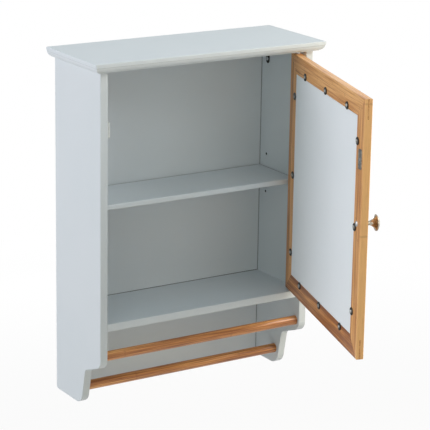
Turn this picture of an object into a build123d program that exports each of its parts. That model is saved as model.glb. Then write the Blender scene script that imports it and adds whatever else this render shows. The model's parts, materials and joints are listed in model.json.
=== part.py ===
from build123d import *
import math
import os

# A wall-hung mirror cabinet with a bamboo-framed door, one shelf and two towel rails.
# Millimetres. +X is the cabinet's right, -Y its front, +Z up.
# The origin is on the wall, midway between the round holes of the two hanger plates.

# Cabinet sizes, the drops being measured down from the underside of the top board
body_width = 450.0
body_depth = 172.0
side_thickness = 15.0
hanger_drop = 45.0
edge_softening = 1.0

top_thickness = 18.0
top_overhang = 17.0
top_band = 7.0
top_step = 1.0
top_moulding_run = 8.0
top_lip = 1.0

bottom_drop = 465.5
bottom_thickness = 14.0

back_thickness = 4.0
back_recess = 20.0
back_above_foot = 9.5
groove_depth = 5.0
groove_play = 0.5

# Curved foot of each side panel, as corners that are then rounded
brow_below_bottom = 67.4
heel_below_brow = 21.8
foot_below_heel = 71.8
heel_setback = 58.8
toe_setback = 73.8
brow_radius = 20.0
heel_radius = 12.0
toe_radius = 24.0
rear_foot_radius = 5.0

# Shelf and its pins
shelf_drop = 250.0
shelf_thickness = 10.0
shelf_setback = 26.0
shelf_side_gap = 1.0
shelf_back_gap = 1.0
shelf_edge_round = 2.0
pin_diameter = 5.0
pin_hole_depth = 9.0
pin_reach = 7.0
pin_collar_diameter = 8.0
pin_collar_thickness = 1.2
pin_flat_height = 2.2
pin_pitch = 37.5
pin_front_setback = 42.0
pin_to_back = 22.0

# Towel rails
rail_diameter = 18.0
rail_socket_depth = 9.0
front_rail_setback = 14.0
front_rail_above_brow = 15.9
rear_rail_behind_toe = 9.2
rear_rail_above_foot = 31.0

# Door frame, mirror and backing
door_thickness = 14.0
frame_width = 35.0
rebate_lip = 8.0
rebate_depth = 7.0
frame_round = 1.5
door_side_gap = 2.0
door_play_above = 2.0
door_play_below = 0.3
door_open_angle = 73.0
mirror_thickness = 4.0
backing_thickness = 2.8
mirror_edge_gap = 0.5
key_thickness = 2.5
key_leg = 35.0
key_setback = 6.5

# Mirror clips
clip_diameter = 14.0
clip_thickness = 1.5
clip_inset = 30.0
clip_spacing_x = 118.0
clip_spacing_z = 151.0

# Pivot hinges
pivot_inset = 15.5
pivot_setback = 5.5
pivot_pin_diameter = 4.0
pivot_pin_in_door = 14.0
pivot_pin_in_socket = 9.0
pivot_collar_diameter = 8.0
pivot_collar_thickness = 0.8
socket_diameter = 6.5
socket_depth = 11.0
socket_end = 1.0
socket_flange_diameter = 9.0
socket_flange_thickness = 1.2
washer_diameter = 8.5
washer_thickness = 0.7

# Knob
knob_edge_distance = 19.6
knob_drop = 224.5
knob_projection = 26.0
knob_head_diameter = 29.0
knob_neck_diameter = 7.6
knob_base_diameter = 11.0
knob_base_thickness = 1.2
knob_neck_start = 5.0
knob_neck_end = 8.0
knob_rim_start = 19.0
knob_rim_thickness = 2.6
knob_thread_depth = 12.0

# Magnetic catch and its strike plate
catch_drop = 110.0
catch_width = 14.0
catch_depth = 14.0
catch_height = 28.0
catch_base_height = 46.0
catch_base_thickness = 2.2
catch_screw_offset = 18.5
catch_round = 1.0
pole_thickness = 1.2
pole_height = 20.0
pole_proud = 1.0
pole_offset = 10.3
magnet_thickness = 3.0
magnet_depth = 10.0
strike_width = 15.0
strike_height = 35.0
strike_corner = 4.0
strike_thickness = 1.5
strike_edge_distance = 13.0
closed_magnet_gap = 0.3

# Corner brackets and wall hangers
bracket_leg = 46.0
bracket_width = 16.0
bracket_shoulder = 14.0
bracket_tip_radius = 4.5
bracket_thickness = 1.8
bracket_hole = 37.0
bracket_to_back = 13.0
hanger_width = 11.0
hanger_length = 46.0
hanger_thickness = 2.0
hanger_entry_diameter = 7.5
hanger_slot_width = 4.2
hanger_slot_rise = 11.0
hanger_screw_offset = 18.0
hanger_pocket_depth = 12.0
hanger_pocket_margin = 0.5

# Dowels
dowel_diameter = 8.0
dowel_length = 30.0
dowel_short_end = 10.0
dowel_front_setback = 40.0
dowel_to_back = 36.0

# Screws as shank diameter, length under the head, head diameter and head height
bracket_screw = (3.5, 12.0, 7.0, 2.2)
clip_screw = (3.0, 10.0, 6.5, 2.0)
catch_screw = (3.0, 12.0, 6.0, 2.0)
knob_screw = (4.0, 24.5, 10.0, 2.6)

# Countersunk screws as shank diameter, full length, head diameter and head height
hanger_screw = (2.8, 14.0, 5.4, 1.4)
strike_screw = (3.0, 10.0, 5.8, 1.3)

# Clearances
glue_gap = 0.1
panel_gap = 0.2
running_gap = 0.05
screw_gap = 0.05
hole_gap = 0.25
rest_gap = 0.1
end_gap = 0.5
cut_margin = 1.0

# Derived positions
half_width = body_width / 2
inner_x = half_width - side_thickness
side_middle = half_width - side_thickness / 2
front_y = -body_depth
under_top = hanger_drop
bottom_top = under_top - bottom_drop
bottom_under = bottom_top - bottom_thickness
bottom_middle = bottom_top - bottom_thickness / 2
brow_level = bottom_under - brow_below_bottom
heel_level = brow_level - heel_below_brow
foot_level = heel_level - foot_below_heel
shelf_under = under_top - shelf_drop - shelf_thickness
back_rear = -back_recess
back_front = back_rear - back_thickness
back_under = foot_level + back_above_foot
pin_level = shelf_under - pin_flat_height
front_rail_y = front_y + front_rail_setback
front_rail_level = brow_level + front_rail_above_brow
rear_rail_y = front_y + toe_setback + rear_rail_behind_toe
rear_rail_level = foot_level + rear_rail_above_foot
door_half = inner_x - door_side_gap
door_top = under_top - socket_flange_thickness - pivot_collar_thickness - door_play_above
lower_stack = socket_flange_thickness + washer_thickness + pivot_collar_thickness
door_foot = bottom_top + lower_stack + door_play_below
door_rear = front_y + door_thickness
door_mid = (door_top + door_foot) / 2
pivot_x = inner_x - pivot_inset
pivot_y = front_y + pivot_setback
strike_face = door_rear + strike_thickness
catch_front = strike_face + closed_magnet_gap + pole_proud
catch_level = under_top - catch_drop
strike_x = -door_half + strike_edge_distance
knob_x = -door_half + knob_edge_distance
knob_level = under_top - knob_drop
bracket_y = back_front - bracket_to_back - bracket_width / 2


def box(x, y, z):
    """A box between the two values given for each axis."""
    size = (x[1] - x[0], y[1] - y[0], z[1] - z[0])
    centre = ((x[0] + x[1]) / 2, (y[0] + y[1]) / 2, (z[0] + z[1]) / 2)
    return Pos(*centre) * Box(*size)


def rod_x(radius, x, y, z):
    """A round bar along X between two x values."""
    return Pos((x[0] + x[1]) / 2, y, z) * Rot(0, 90, 0) * Cylinder(radius, x[1] - x[0])


def rod_y(radius, x, y, z):
    """A round bar along Y between two y values."""
    return Pos(x, (y[0] + y[1]) / 2, z) * Rot(90, 0, 0) * Cylinder(radius, y[1] - y[0])


def rod_z(radius, x, y, z):
    """A round bar along Z between two z values."""
    return Pos(x, y, (z[0] + z[1]) / 2) * Cylinder(radius, z[1] - z[0])


def inward(side, start, reach):
    """The x values of a stretch that starts at start from the middle and goes inward by reach."""
    return sorted((side * start, side * (start - reach)))


def swing(shape):
    """Turns a door piece from its closed place to the open place of the rest pose."""
    there = Pos(pivot_x, pivot_y, 0)
    back = Pos(-pivot_x, -pivot_y, 0)
    return there * Rot(0, 0, door_open_angle) * back * shape


def group(pieces):
    """Several separate solids kept together as one node."""
    solids = []
    for piece in pieces:
        solids.extend(piece.solids())
    return Compound(children=solids)


# Screws, drawn along Z with the head up
def cross_recess(head, height, floor):
    """The cross-shaped recess in a screw's head, down to the floor."""
    bar = head * 0.28
    slot = head * 0.06
    one = box((-bar, bar), (-slot, slot), (floor, height))
    return one + Rot(0, 0, 90) * one


def screw(size):
    """A pan-head screw: its head's seat is at the origin and the shank points down."""
    shank, length, head, height = size
    cap = rod_z(head / 2, 0, 0, (0, height))
    cap = fillet(cap.faces().sort_by(Axis.Z)[-1].edges(), height * 0.6)
    body = cap + rod_z(shank / 2, 0, 0, (-length, height / 2))
    return body - cross_recess(head, height, height * 0.45)


def flat_screw(size):
    """A countersunk screw: the top of its head is at the origin and the shank points down."""
    shank, length, head, height = size
    cone = Pos(0, 0, -height / 2) * Cone(shank / 2, head / 2, height)
    body = cone + rod_z(shank / 2, 0, 0, (-length, -height / 2))
    return body - cross_recess(head, 0, -height * 0.6)


def screw_hole(size):
    """The pilot hole that a screw's shank fills, a little wider and deeper than the shank."""
    shank, length = size[0], size[1]
    return rod_z(shank / 2 + screw_gap, 0, 0, (-length - end_gap, cut_margin))


def countersink(size):
    """The conical seat and through hole for a countersunk screw in a plate."""
    shank, length, head, height = size
    cone = Pos(0, 0, -height / 2) * Cone(shank / 2 + hole_gap, head / 2 + hole_gap, height)
    above = rod_z(head / 2 + hole_gap, 0, 0, (0, cut_margin))
    return cone + above + rod_z(shank / 2 + hole_gap, 0, 0, (-length / 2, 0))


# Places that more than one piece shares
def dowel_rows():
    """The y values of the two rows of dowels."""
    return (front_y + dowel_front_setback, back_front - dowel_to_back)


def pin_rows():
    """The y values of the two rows of shelf pins."""
    return (front_y + pin_front_setback, back_front - pin_to_back)


def clip_places():
    """The places (x, z) of the clips round the closed door's inner face."""
    places = []
    for step in (-1, 0, 1):
        places.append((step * clip_spacing_x, door_top - clip_inset))
        places.append((step * clip_spacing_x, door_foot + clip_inset))
        places.append((door_half - clip_inset, door_mid + step * clip_spacing_z))
        places.append((clip_inset - door_half, door_mid + step * clip_spacing_z))
    return places


def hanger_screw_seats(side):
    """Where the two countersunk screws of a hanger plate sit, flush with the plate."""
    seats = []
    for end in (-1, 1):
        seats.append(Pos(side * side_middle, 0, end * hanger_screw_offset) * Rot(-90, 0, 0))
    return seats


def catch_screw_seats():
    """Where the heads of the catch's two screws sit, on the ears of its base."""
    seats = []
    for end in (-1, 1):
        level = catch_level + end * catch_screw_offset
        seats.append(Pos(catch_base_thickness - inner_x, catch_front + catch_depth / 2, level)
                     * Rot(0, 90, 0))
    return seats


def bracket_side_seat(side):
    """Where the screw through a corner bracket's upright leg sits."""
    x = side * (inner_x - bracket_thickness)
    return Pos(x, bracket_y, under_top - bracket_hole) * Rot(0, -side * 90, 0)


def bracket_top_seat(side):
    """Where the screw through a corner bracket's level leg sits, pointing up."""
    x = side * (inner_x - bracket_hole)
    return Pos(x, bracket_y, under_top - bracket_thickness) * Rot(180, 0, 0)


# Side panels
def side_outline():
    """The side panel's shape seen from the side, with its curved foot, as a solid."""
    points = [
        (0, under_top),
        (0, foot_level),
        (front_y + toe_setback, foot_level),
        (front_y + heel_setback, heel_level),
        (front_y, brow_level),
        (front_y, under_top),
    ]
    face = Plane.YZ * make_face(Polyline(*points, close=True))
    solid = extrude(face, side_thickness / 2, both=True)
    rounds = [(1, rear_foot_radius), (2, toe_radius), (3, heel_radius), (4, brow_radius)]
    for index, radius in rounds:
        y, z = points[index]
        across = solid.edges().filter_by(Axis.X)
        solid = fillet(across.sort_by_distance((0, y, z))[0], radius)
    return solid


def soften_side(solid):
    """Rounds the long edges of the side panel's front and curved foot slightly."""
    rim = []
    ends = solid.faces().sort_by(Axis.X)
    for face in (ends[0], ends[-1]):
        for edge in face.edges():
            middle = edge @ 0.5
            if middle.Z < under_top - edge_softening and middle.Y < -edge_softening:
                rim.append(edge)
    return fillet(rim, edge_softening)


def hanger_pocket(side):
    """The shallow seat of the hanger plate and the deeper pocket for the wall screw's head."""
    x = side * side_middle
    half = hanger_width / 2 + glue_gap
    reach = hanger_length / 2 + glue_gap
    cut = box((x - half, x + half), (-hanger_thickness, cut_margin), (-reach, reach))
    entry = hanger_entry_diameter / 2
    wide = entry + hanger_pocket_margin
    rise = (-entry - hanger_pocket_margin, hanger_slot_rise + entry)
    cut += box((x - wide, x + wide), (-hanger_pocket_depth, 0), rise)
    for seat in hanger_screw_seats(side):
        cut += seat * screw_hole(hanger_screw)
    return cut


def side_panel(side):
    """One painted side panel, side -1 for the left and +1 for the right."""
    panel = Pos(side * side_middle, 0, 0) * soften_side(side_outline())
    groove_y = (back_front - groove_play, back_rear + panel_gap / 2)
    groove_x = inward(side, inner_x + groove_depth, groove_depth + cut_margin)
    groove_z = (back_under - panel_gap, under_top + cut_margin)
    panel -= box(groove_x, groove_y, groove_z)
    socket = rail_diameter / 2 + glue_gap
    socket_x = inward(side, inner_x + rail_socket_depth, rail_socket_depth + cut_margin)
    panel -= rod_x(socket, socket_x, front_rail_y, front_rail_level)
    panel -= rod_x(socket, socket_x, rear_rail_y, rear_rail_level)
    hole_x = inward(side, inner_x + pin_hole_depth, pin_hole_depth + cut_margin)
    for y in pin_rows():
        for step in (-1, 0, 1):
            level = pin_level + step * pin_pitch
            panel -= rod_x(pin_diameter / 2 + running_gap, hole_x, y, level)
    dowel = dowel_diameter / 2 + glue_gap
    low = under_top - dowel_length + dowel_short_end - end_gap
    short_x = inward(side, inner_x + dowel_short_end + end_gap, dowel_short_end + 2 * end_gap)
    for y in dowel_rows():
        panel -= rod_z(dowel, side * side_middle, y, (low, under_top + cut_margin))
        panel -= rod_x(dowel, short_x, y, bottom_middle)
    panel -= bracket_side_seat(side) * screw_hole(bracket_screw)
    panel -= hanger_pocket(side)
    if side < 0:
        for seat in catch_screw_seats():
            panel -= seat * screw_hole(catch_screw)
    return panel


# Top with its moulded edge
def moulding_points(reach):
    """The moulded edge's shoulder, bulge and foot, for a board that reaches out to reach."""
    top = under_top + top_thickness
    shoulder = (reach - top_step, top - top_band)
    foot = (shoulder[0] - top_moulding_run, under_top + top_lip)
    bulge_x = shoulder[0] * 0.72 + foot[0] * 0.28
    bulge_z = shoulder[1] * 0.38 + foot[1] * 0.62
    return shoulder, (bulge_x, bulge_z), foot


def moulded_edge(reach, hand):
    """The lines of one moulded edge from the top face to the underside, mirrored by hand."""
    shoulder, bulge, foot = [(hand * x, z) for x, z in moulding_points(reach)]
    crest = (hand * reach, under_top + top_thickness)
    corner = (hand * reach, shoulder[1])
    under = (foot[0], under_top)
    lines = [Line(crest, corner), Line(corner, shoulder)]
    lines += [ThreePointArc(shoulder, bulge, foot), Line(foot, under)]
    return lines, crest, under


def moulded_section(left, right):
    """The top board's section with a moulded right edge, and a plain left edge if left is 0."""
    lines, right_crest, right_under = moulded_edge(right, 1)
    if left == 0:
        left_crest = (0, under_top + top_thickness)
        left_under = (0, under_top)
        lines.append(Line(left_crest, left_under))
    else:
        more, left_crest, left_under = moulded_edge(left, -1)
        lines += more
    lines += [Line(left_crest, right_crest), Line(left_under, right_under)]
    return make_face(Curve() + lines)


def top_panel():
    """The top board, moulded on its front and both ends, with grooves and holes below."""
    reach = half_width + top_overhang
    depth = body_depth + top_overhang
    across = extrude(Plane.XZ * moulded_section(reach, reach), depth + cut_margin, both=True)
    lengthways = Plane(origin=(0, 0, 0), x_dir=(0, -1, 0), z_dir=(-1, 0, 0))
    along = extrude(lengthways * moulded_section(0, depth), reach + cut_margin, both=True)
    board = across & along
    crest = [edge for edge in board.edges().group_by(Axis.Z)[-1] if (edge @ 0.5).Y < -1]
    board = fillet(crest, edge_softening)
    inside = inner_x + groove_depth
    slot_y = (back_front - groove_play, back_rear + panel_gap / 2)
    board -= box((-inside, inside), slot_y, (under_top - cut_margin, under_top + groove_depth))
    rise = (under_top - cut_margin, under_top + dowel_short_end + end_gap)
    for side in (-1, 1):
        for y in dowel_rows():
            board -= rod_z(dowel_diameter / 2 + glue_gap, side * side_middle, y, rise)
        board -= bracket_top_seat(side) * screw_hole(bracket_screw)
    bore = (under_top - cut_margin, under_top + socket_depth)
    return board - rod_z(socket_diameter / 2 + glue_gap, pivot_x, pivot_y, bore)


def bottom_panel():
    """The bottom board between the sides, dowelled at its ends."""
    board = box((-inner_x, inner_x), (front_y, back_front), (bottom_under, bottom_top))
    front_face = board.faces().sort_by(Axis.Y)[0]
    board = fillet(front_face.edges().filter_by(Axis.X), edge_softening)
    deep = dowel_length - dowel_short_end + end_gap
    for side in (-1, 1):
        for y in dowel_rows():
            hole_x = inward(side, inner_x + cut_margin, deep + cut_margin)
            board -= rod_x(dowel_diameter / 2 + glue_gap, hole_x, y, bottom_middle)
    bore = (bottom_top - socket_depth, bottom_top + cut_margin)
    return board - rod_z(socket_diameter / 2 + glue_gap, pivot_x, pivot_y, bore)


def back_panel():
    """The thin back, held in grooves of the sides and the top."""
    reach = inner_x + groove_depth - panel_gap
    rise = (back_under, under_top + groove_depth - panel_gap)
    return box((-reach, reach), (back_front, back_rear), rise)


def adjustable_shelf():
    """The loose shelf, resting on four pins."""
    reach = inner_x - shelf_side_gap
    depth = (front_y + shelf_setback, back_front - shelf_back_gap)
    board = box((-reach, reach), depth, (shelf_under, shelf_under + shelf_thickness))
    front_face = board.faces().sort_by(Axis.Y)[0]
    return fillet(front_face.edges().filter_by(Axis.X), shelf_edge_round)


def shelf_pins():
    """Four steel pins with a collar and a flat on top for the shelf."""
    pins = []
    radius = pin_collar_diameter / 2
    rise = (pin_level + pin_flat_height - rest_gap, pin_level + radius + cut_margin)
    for side in (-1, 1):
        shank_x = inward(side, inner_x + pin_hole_depth - end_gap,
                         pin_hole_depth - end_gap + pin_reach)
        collar_x = inward(side, inner_x, pin_collar_thickness)
        flat_x = inward(side, inner_x, pin_reach + cut_margin)
        for y in pin_rows():
            pin = rod_x(pin_diameter / 2, shank_x, y, pin_level)
            pin += rod_x(radius, collar_x, y, pin_level)
            pins.append(pin - box(flat_x, (y - radius, y + radius), rise))
    return group(pins)


def towel_rail(y, level):
    """One round bamboo rail, its ends glued into the sides."""
    reach = inner_x + rail_socket_depth - end_gap
    return rod_x(rail_diameter / 2, (-reach, reach), y, level)


def top_dowels():
    """Four upright wooden dowels between the sides and the top."""
    rods = []
    low = under_top - (dowel_length - dowel_short_end)
    for side in (-1, 1):
        for y in dowel_rows():
            rods.append(rod_z(dowel_diameter / 2, side * side_middle, y, (low, low + dowel_length)))
    return group(rods)


def bottom_dowels():
    """Four level wooden dowels between the sides and the bottom board."""
    rods = []
    for side in (-1, 1):
        span = inward(side, inner_x + dowel_short_end, dowel_length)
        for y in dowel_rows():
            rods.append(rod_x(dowel_diameter / 2, span, y, bottom_middle))
    return group(rods)


# Corner brackets
def bracket_blade():
    """One tapered leg of a bracket, its corner along X, its tip at +Y, its thickness up Z."""
    half = bracket_width / 2
    tip = bracket_leg - bracket_tip_radius
    points = [(-half, 0), (half, 0), (half, bracket_shoulder), (bracket_tip_radius, tip)]
    points += [(-bracket_tip_radius, tip), (-half, bracket_shoulder)]
    blade = extrude(make_face(Polyline(*points, close=True)), bracket_thickness)
    blade += rod_z(bracket_tip_radius, 0, tip, (0, bracket_thickness))
    through = (-cut_margin, bracket_thickness + cut_margin)
    return blade - rod_z(bracket_screw[0] / 2 + hole_gap, 0, bracket_hole, through)


def corner_bracket(side):
    """A folded steel bracket in the top rear corner, one leg on the side and one on the top."""
    corner = (inner_x, bracket_y, under_top)
    upright = Plane(origin=corner, x_dir=(0, 1, 0), z_dir=(-1, 0, 0)) * bracket_blade()
    level = Plane(origin=corner, x_dir=(0, -1, 0), z_dir=(0, 0, -1)) * bracket_blade()
    bracket = upright + level
    return bracket if side > 0 else mirror(bracket, about=Plane.YZ)


def corner_bracket_screws():
    """Four pan-head screws, two in each bracket."""
    screws = []
    for side in (-1, 1):
        screws.append(bracket_side_seat(side) * screw(bracket_screw))
        screws.append(bracket_top_seat(side) * screw(bracket_screw))
    return group(screws)


# Wall hangers
def hanger_plate(side):
    """A steel keyhole plate let into the rear edge of a side panel."""
    x = side * side_middle
    half = hanger_width / 2
    reach = hanger_length / 2
    plate = box((x - half, x + half), (-hanger_thickness, 0), (-reach, reach))
    through = (-hanger_thickness - cut_margin, cut_margin)
    slot = hanger_slot_width / 2
    plate -= rod_y(hanger_entry_diameter / 2, x, through, 0)
    plate -= box((x - slot, x + slot), through, (0, hanger_slot_rise))
    plate -= rod_y(slot, x, through, hanger_slot_rise)
    for seat in hanger_screw_seats(side):
        plate -= seat * countersink(hanger_screw)
    return plate


def hanger_screws():
    """Four small countersunk screws, two in each hanger plate."""
    screws = []
    for side in (-1, 1):
        for seat in hanger_screw_seats(side):
            screws.append(seat * flat_screw(hanger_screw))
    return group(screws)


# Door frame, drawn closed and then swung open
def frame_bar(length):
    """A rebated bar: x runs in from the outer edge, y along it, z up from the rear face."""
    lip = frame_width + rebate_lip
    section = [(0, 0), (0, door_thickness), (-lip, door_thickness), (-lip, rebate_depth)]
    section += [(-frame_width, rebate_depth), (-frame_width, 0)]
    profile = Plane.XZ * make_face(Polyline(*section, close=True))
    bar = extrude(profile, length / 2, both=True)
    rims = bar.edges().filter_by(Axis.Y)
    corners = [(0, 0, 0), (0, 0, door_thickness), (-lip, 0, door_thickness)]
    bar = fillet([rims.sort_by_distance(corner)[0] for corner in corners], frame_round)
    half = length / 2
    mitre = Polyline((0, -half), (0, half), (-lip, half - lip), (-lip, lip - half), close=True)
    return bar & extrude(make_face(mitre), door_thickness)


def key_at(side, end, thickness):
    """The triangular key across one corner of the closed door."""
    x = side * door_half
    z = door_top if end > 0 else door_foot
    corners = [(x, z), (x - side * key_leg, z), (x, z - end * key_leg)]
    middle = Plane(origin=(0, door_rear - key_setback, 0), x_dir=(1, 0, 0), z_dir=(0, -1, 0))
    return extrude(middle * make_face(Polyline(*corners, close=True)), thickness / 2, both=True)


def pivot_hole(end):
    """The hole for a pivot pin in the closed door."""
    deep = pivot_pin_in_door + end_gap
    z = (door_top - deep, door_top + cut_margin) if end > 0 else (door_foot - cut_margin, door_foot + deep)
    return rod_z(pivot_pin_diameter / 2 + screw_gap, pivot_x, pivot_y, z)


def clip_seat(x, z):
    """A place on the closed door's inner face, facing into the cabinet."""
    return Pos(x, door_rear, z) * Rot(-90, 0, 0)


def frame_member(plane, length):
    """One member of the frame, with the slots and holes of what is fixed in it, swung open."""
    bar = plane * frame_bar(length)
    for side in (-1, 1):
        for end in (-1, 1):
            bar -= key_at(side, end, key_thickness + glue_gap)
    for end in (-1, 1):
        bar -= pivot_hole(end)
    for x, z in clip_places():
        bar -= clip_seat(x, z) * Pos(0, 0, clip_thickness) * screw_hole(clip_screw)
    bar -= clip_seat(strike_x, catch_level) * Pos(0, 0, strike_thickness) * screw_hole(strike_screw)
    through = (front_y - cut_margin, door_rear + cut_margin)
    bar -= rod_y(knob_screw[0] / 2 + hole_gap, knob_x, through, knob_level)
    return swing(bar)


def stile(side):
    """An upright of the frame, the hinge stile on side +1 and the latch stile on side -1."""
    plane = Plane(origin=(side * door_half, door_rear, door_mid), x_dir=(side, 0, 0), z_dir=(0, -1, 0))
    return frame_member(plane, door_top - door_foot)


def door_rail(end):
    """A level member of the frame, the top one at end +1 and the bottom one at end -1."""
    level = door_top if end > 0 else door_foot
    plane = Plane(origin=(0, door_rear, level), x_dir=(0, 0, end), z_dir=(0, -1, 0))
    return frame_member(plane, 2 * door_half)


def mitre_keys():
    """Four thin keys glued across the mitred corners, flush with the door's edges."""
    keys = []
    for side in (-1, 1):
        for end in (-1, 1):
            keys.append(swing(key_at(side, end, key_thickness) - pivot_hole(end)))
    return group(keys)


# Mirror and what holds it
def pane(start, thickness):
    """A flat sheet in the frame's rebate, its front at start behind the door's front face."""
    reach = door_half - frame_width - mirror_edge_gap
    y = (front_y + start, front_y + start + thickness)
    z = (door_foot + frame_width + mirror_edge_gap, door_top - frame_width - mirror_edge_gap)
    return swing(box((-reach, reach), y, z))


def mirror_clips():
    """Twelve round steel clips, screwed to the frame and lapping over the backing board."""
    clips = []
    for x, z in clip_places():
        clip = rod_z(clip_diameter / 2, 0, 0, (0, clip_thickness))
        clip -= rod_z(clip_screw[0] / 2 + hole_gap, 0, 0, (-cut_margin, clip_thickness + cut_margin))
        clips.append(swing(clip_seat(x, z) * clip))
    return group(clips)


def mirror_clip_screws():
    """Twelve pan-head screws, one in each clip."""
    seats = [clip_seat(x, z) * Pos(0, 0, clip_thickness) for x, z in clip_places()]
    return group([swing(seat * screw(clip_screw)) for seat in seats])


# Knob
def knob_outline():
    """Half of the knob's section, from its base at z 0 up to its domed end."""
    base = knob_base_diameter / 2
    neck = knob_neck_diameter / 2
    head = knob_head_diameter / 2
    rim_end = knob_rim_start + knob_rim_thickness
    waist = (neck * 0.8 + base * 0.2, (knob_base_thickness + knob_neck_start) / 2)
    flare = (neck + (head - neck) * 0.36, knob_neck_end + (knob_rim_start - knob_neck_end) * 0.66)
    rim_middle = (head, (knob_rim_start + rim_end) / 2)
    shoulder = head - knob_rim_thickness / 3
    rise = knob_projection - rim_end
    dome = (shoulder ** 2 + rise ** 2) / (2 * rise)
    crown = (shoulder / 2, knob_projection - dome + math.sqrt(dome ** 2 - shoulder ** 2 / 4))
    return [
        Line((0, 0), (base, 0)),
        Line((base, 0), (base, knob_base_thickness)),
        ThreePointArc((base, knob_base_thickness), waist, (neck, knob_neck_start)),
        Line((neck, knob_neck_start), (neck, knob_neck_end)),
        ThreePointArc((neck, knob_neck_end), flare, (shoulder, knob_rim_start)),
        ThreePointArc((shoulder, knob_rim_start), rim_middle, (shoulder, rim_end)),
        ThreePointArc((shoulder, rim_end), crown, (0, knob_projection)),
        Line((0, knob_projection), (0, 0)),
    ]


def knob():
    """The turned metal knob, bored and tapped from its base for its screw."""
    section = Plane.XZ * make_face(Curve() + knob_outline())
    turned = revolve(section, Axis.Z)
    bore = rod_z(knob_screw[0] / 2 + screw_gap, 0, 0, (-cut_margin, knob_thread_depth + end_gap))
    return swing(Pos(knob_x, front_y, knob_level) * Rot(90, 0, 0) * (turned - bore))


def knob_bolt():
    """The long screw that holds the knob from the inner face of the door."""
    return swing(clip_seat(knob_x, knob_level) * screw(knob_screw))


# Magnetic catch and its strike plate
def strike_plate():
    """A small steel plate with rounded corners and one countersunk hole."""
    width = strike_width / 2
    height = strike_height / 2
    plate = box((-width, width), (-height, height), (0, strike_thickness))
    plate = fillet(plate.edges().filter_by(Axis.Z), strike_corner)
    plate -= Pos(0, 0, strike_thickness) * countersink(strike_screw)
    return swing(clip_seat(strike_x, catch_level) * plate)


def strike_plate_screw():
    """The countersunk screw in the strike plate."""
    seat = clip_seat(strike_x, catch_level) * Pos(0, 0, strike_thickness)
    return swing(seat * flat_screw(strike_screw))


def magnet_stack(extra, front, depth):
    """The block that the magnet and its two poles fill, grown by extra on the outside."""
    middle = pole_offset - inner_x
    half = magnet_thickness / 2 + pole_thickness + extra
    rise = pole_height / 2 + extra
    y = (front, catch_front + depth)
    return box((middle - half, middle + half), y, (catch_level - rise, catch_level + rise))


def catch_body():
    """The white plastic body of the catch on the left side panel, with an ear at each end."""
    x = (-inner_x, catch_width - inner_x)
    y = (catch_front, catch_front + catch_depth)
    half = catch_height / 2
    body = box(x, y, (catch_level - half, catch_level + half))
    outer = body.faces().sort_by(Axis.X)[-1]
    body = fillet(outer.edges(), catch_round)
    ears = catch_base_height / 2
    base = (-inner_x, catch_base_thickness - inner_x)
    body += box(base, y, (catch_level - ears, catch_level + ears))
    body -= magnet_stack(glue_gap, catch_front - cut_margin, magnet_depth + glue_gap)
    for seat in catch_screw_seats():
        body -= seat * rod_z(catch_screw[0] / 2 + hole_gap, 0, 0, (-catch_base_thickness - 1, 1))
    return body


def catch_magnet():
    """The flat magnet between the two poles."""
    middle = pole_offset - inner_x
    half = magnet_thickness / 2
    rise = pole_height / 2
    y = (catch_front, catch_front + magnet_depth)
    return box((middle - half, middle + half), y, (catch_level - rise, catch_level + rise))


def catch_poles():
    """The two steel poles that stand a little proud of the catch's front."""
    whole = magnet_stack(0, catch_front - pole_proud, magnet_depth)
    middle = pole_offset - inner_x
    half = magnet_thickness / 2
    rise = pole_height
    gap = box((middle - half, middle + half),
              (catch_front - 2 * pole_proud, catch_front + 2 * magnet_depth),
              (catch_level - rise, catch_level + rise))
    return group([whole - gap])


def catch_screws():
    """The two screws through the ears of the catch."""
    return group([seat * screw(catch_screw) for seat in catch_screw_seats()])


# Pivot hinges
def pivot_socket(end):
    """A flanged bush pressed into the top or bottom board, closed at its far end."""
    rest = under_top if end > 0 else bottom_top
    flip = Rot(180, 0, 0) if end > 0 else Rot(0, 0, 0)
    bush = rod_z(socket_diameter / 2, 0, 0, (-socket_depth, 0))
    bush += rod_z(socket_flange_diameter / 2, 0, 0, (0, socket_flange_thickness))
    bore = (socket_end - socket_depth, socket_flange_thickness + cut_margin)
    bush -= rod_z(pivot_pin_diameter / 2 + running_gap, 0, 0, bore)
    return Pos(pivot_x, pivot_y, rest) * flip * bush


def pivot_pin(end):
    """A steel pin in the door's top or bottom edge, with a collar against the edge."""
    edge, rest = (door_top, under_top) if end > 0 else (door_foot, bottom_top)
    length = sorted((edge - end * pivot_pin_in_door, rest + end * pivot_pin_in_socket))
    collar = sorted((edge, edge + end * pivot_collar_thickness))
    pin = rod_z(pivot_pin_diameter / 2, pivot_x, pivot_y, length)
    pin += rod_z(pivot_collar_diameter / 2, pivot_x, pivot_y, collar)
    return swing(pin)


def pivot_washer():
    """The slippery washer on the lower bush, under the lower pin's collar."""
    low = bottom_top + socket_flange_thickness
    ring = rod_z(washer_diameter / 2, pivot_x, pivot_y, (low, low + washer_thickness))
    through = (low - cut_margin, low + washer_thickness + cut_margin)
    return ring - rod_z(pivot_pin_diameter / 2 + running_gap, pivot_x, pivot_y, through)


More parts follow.
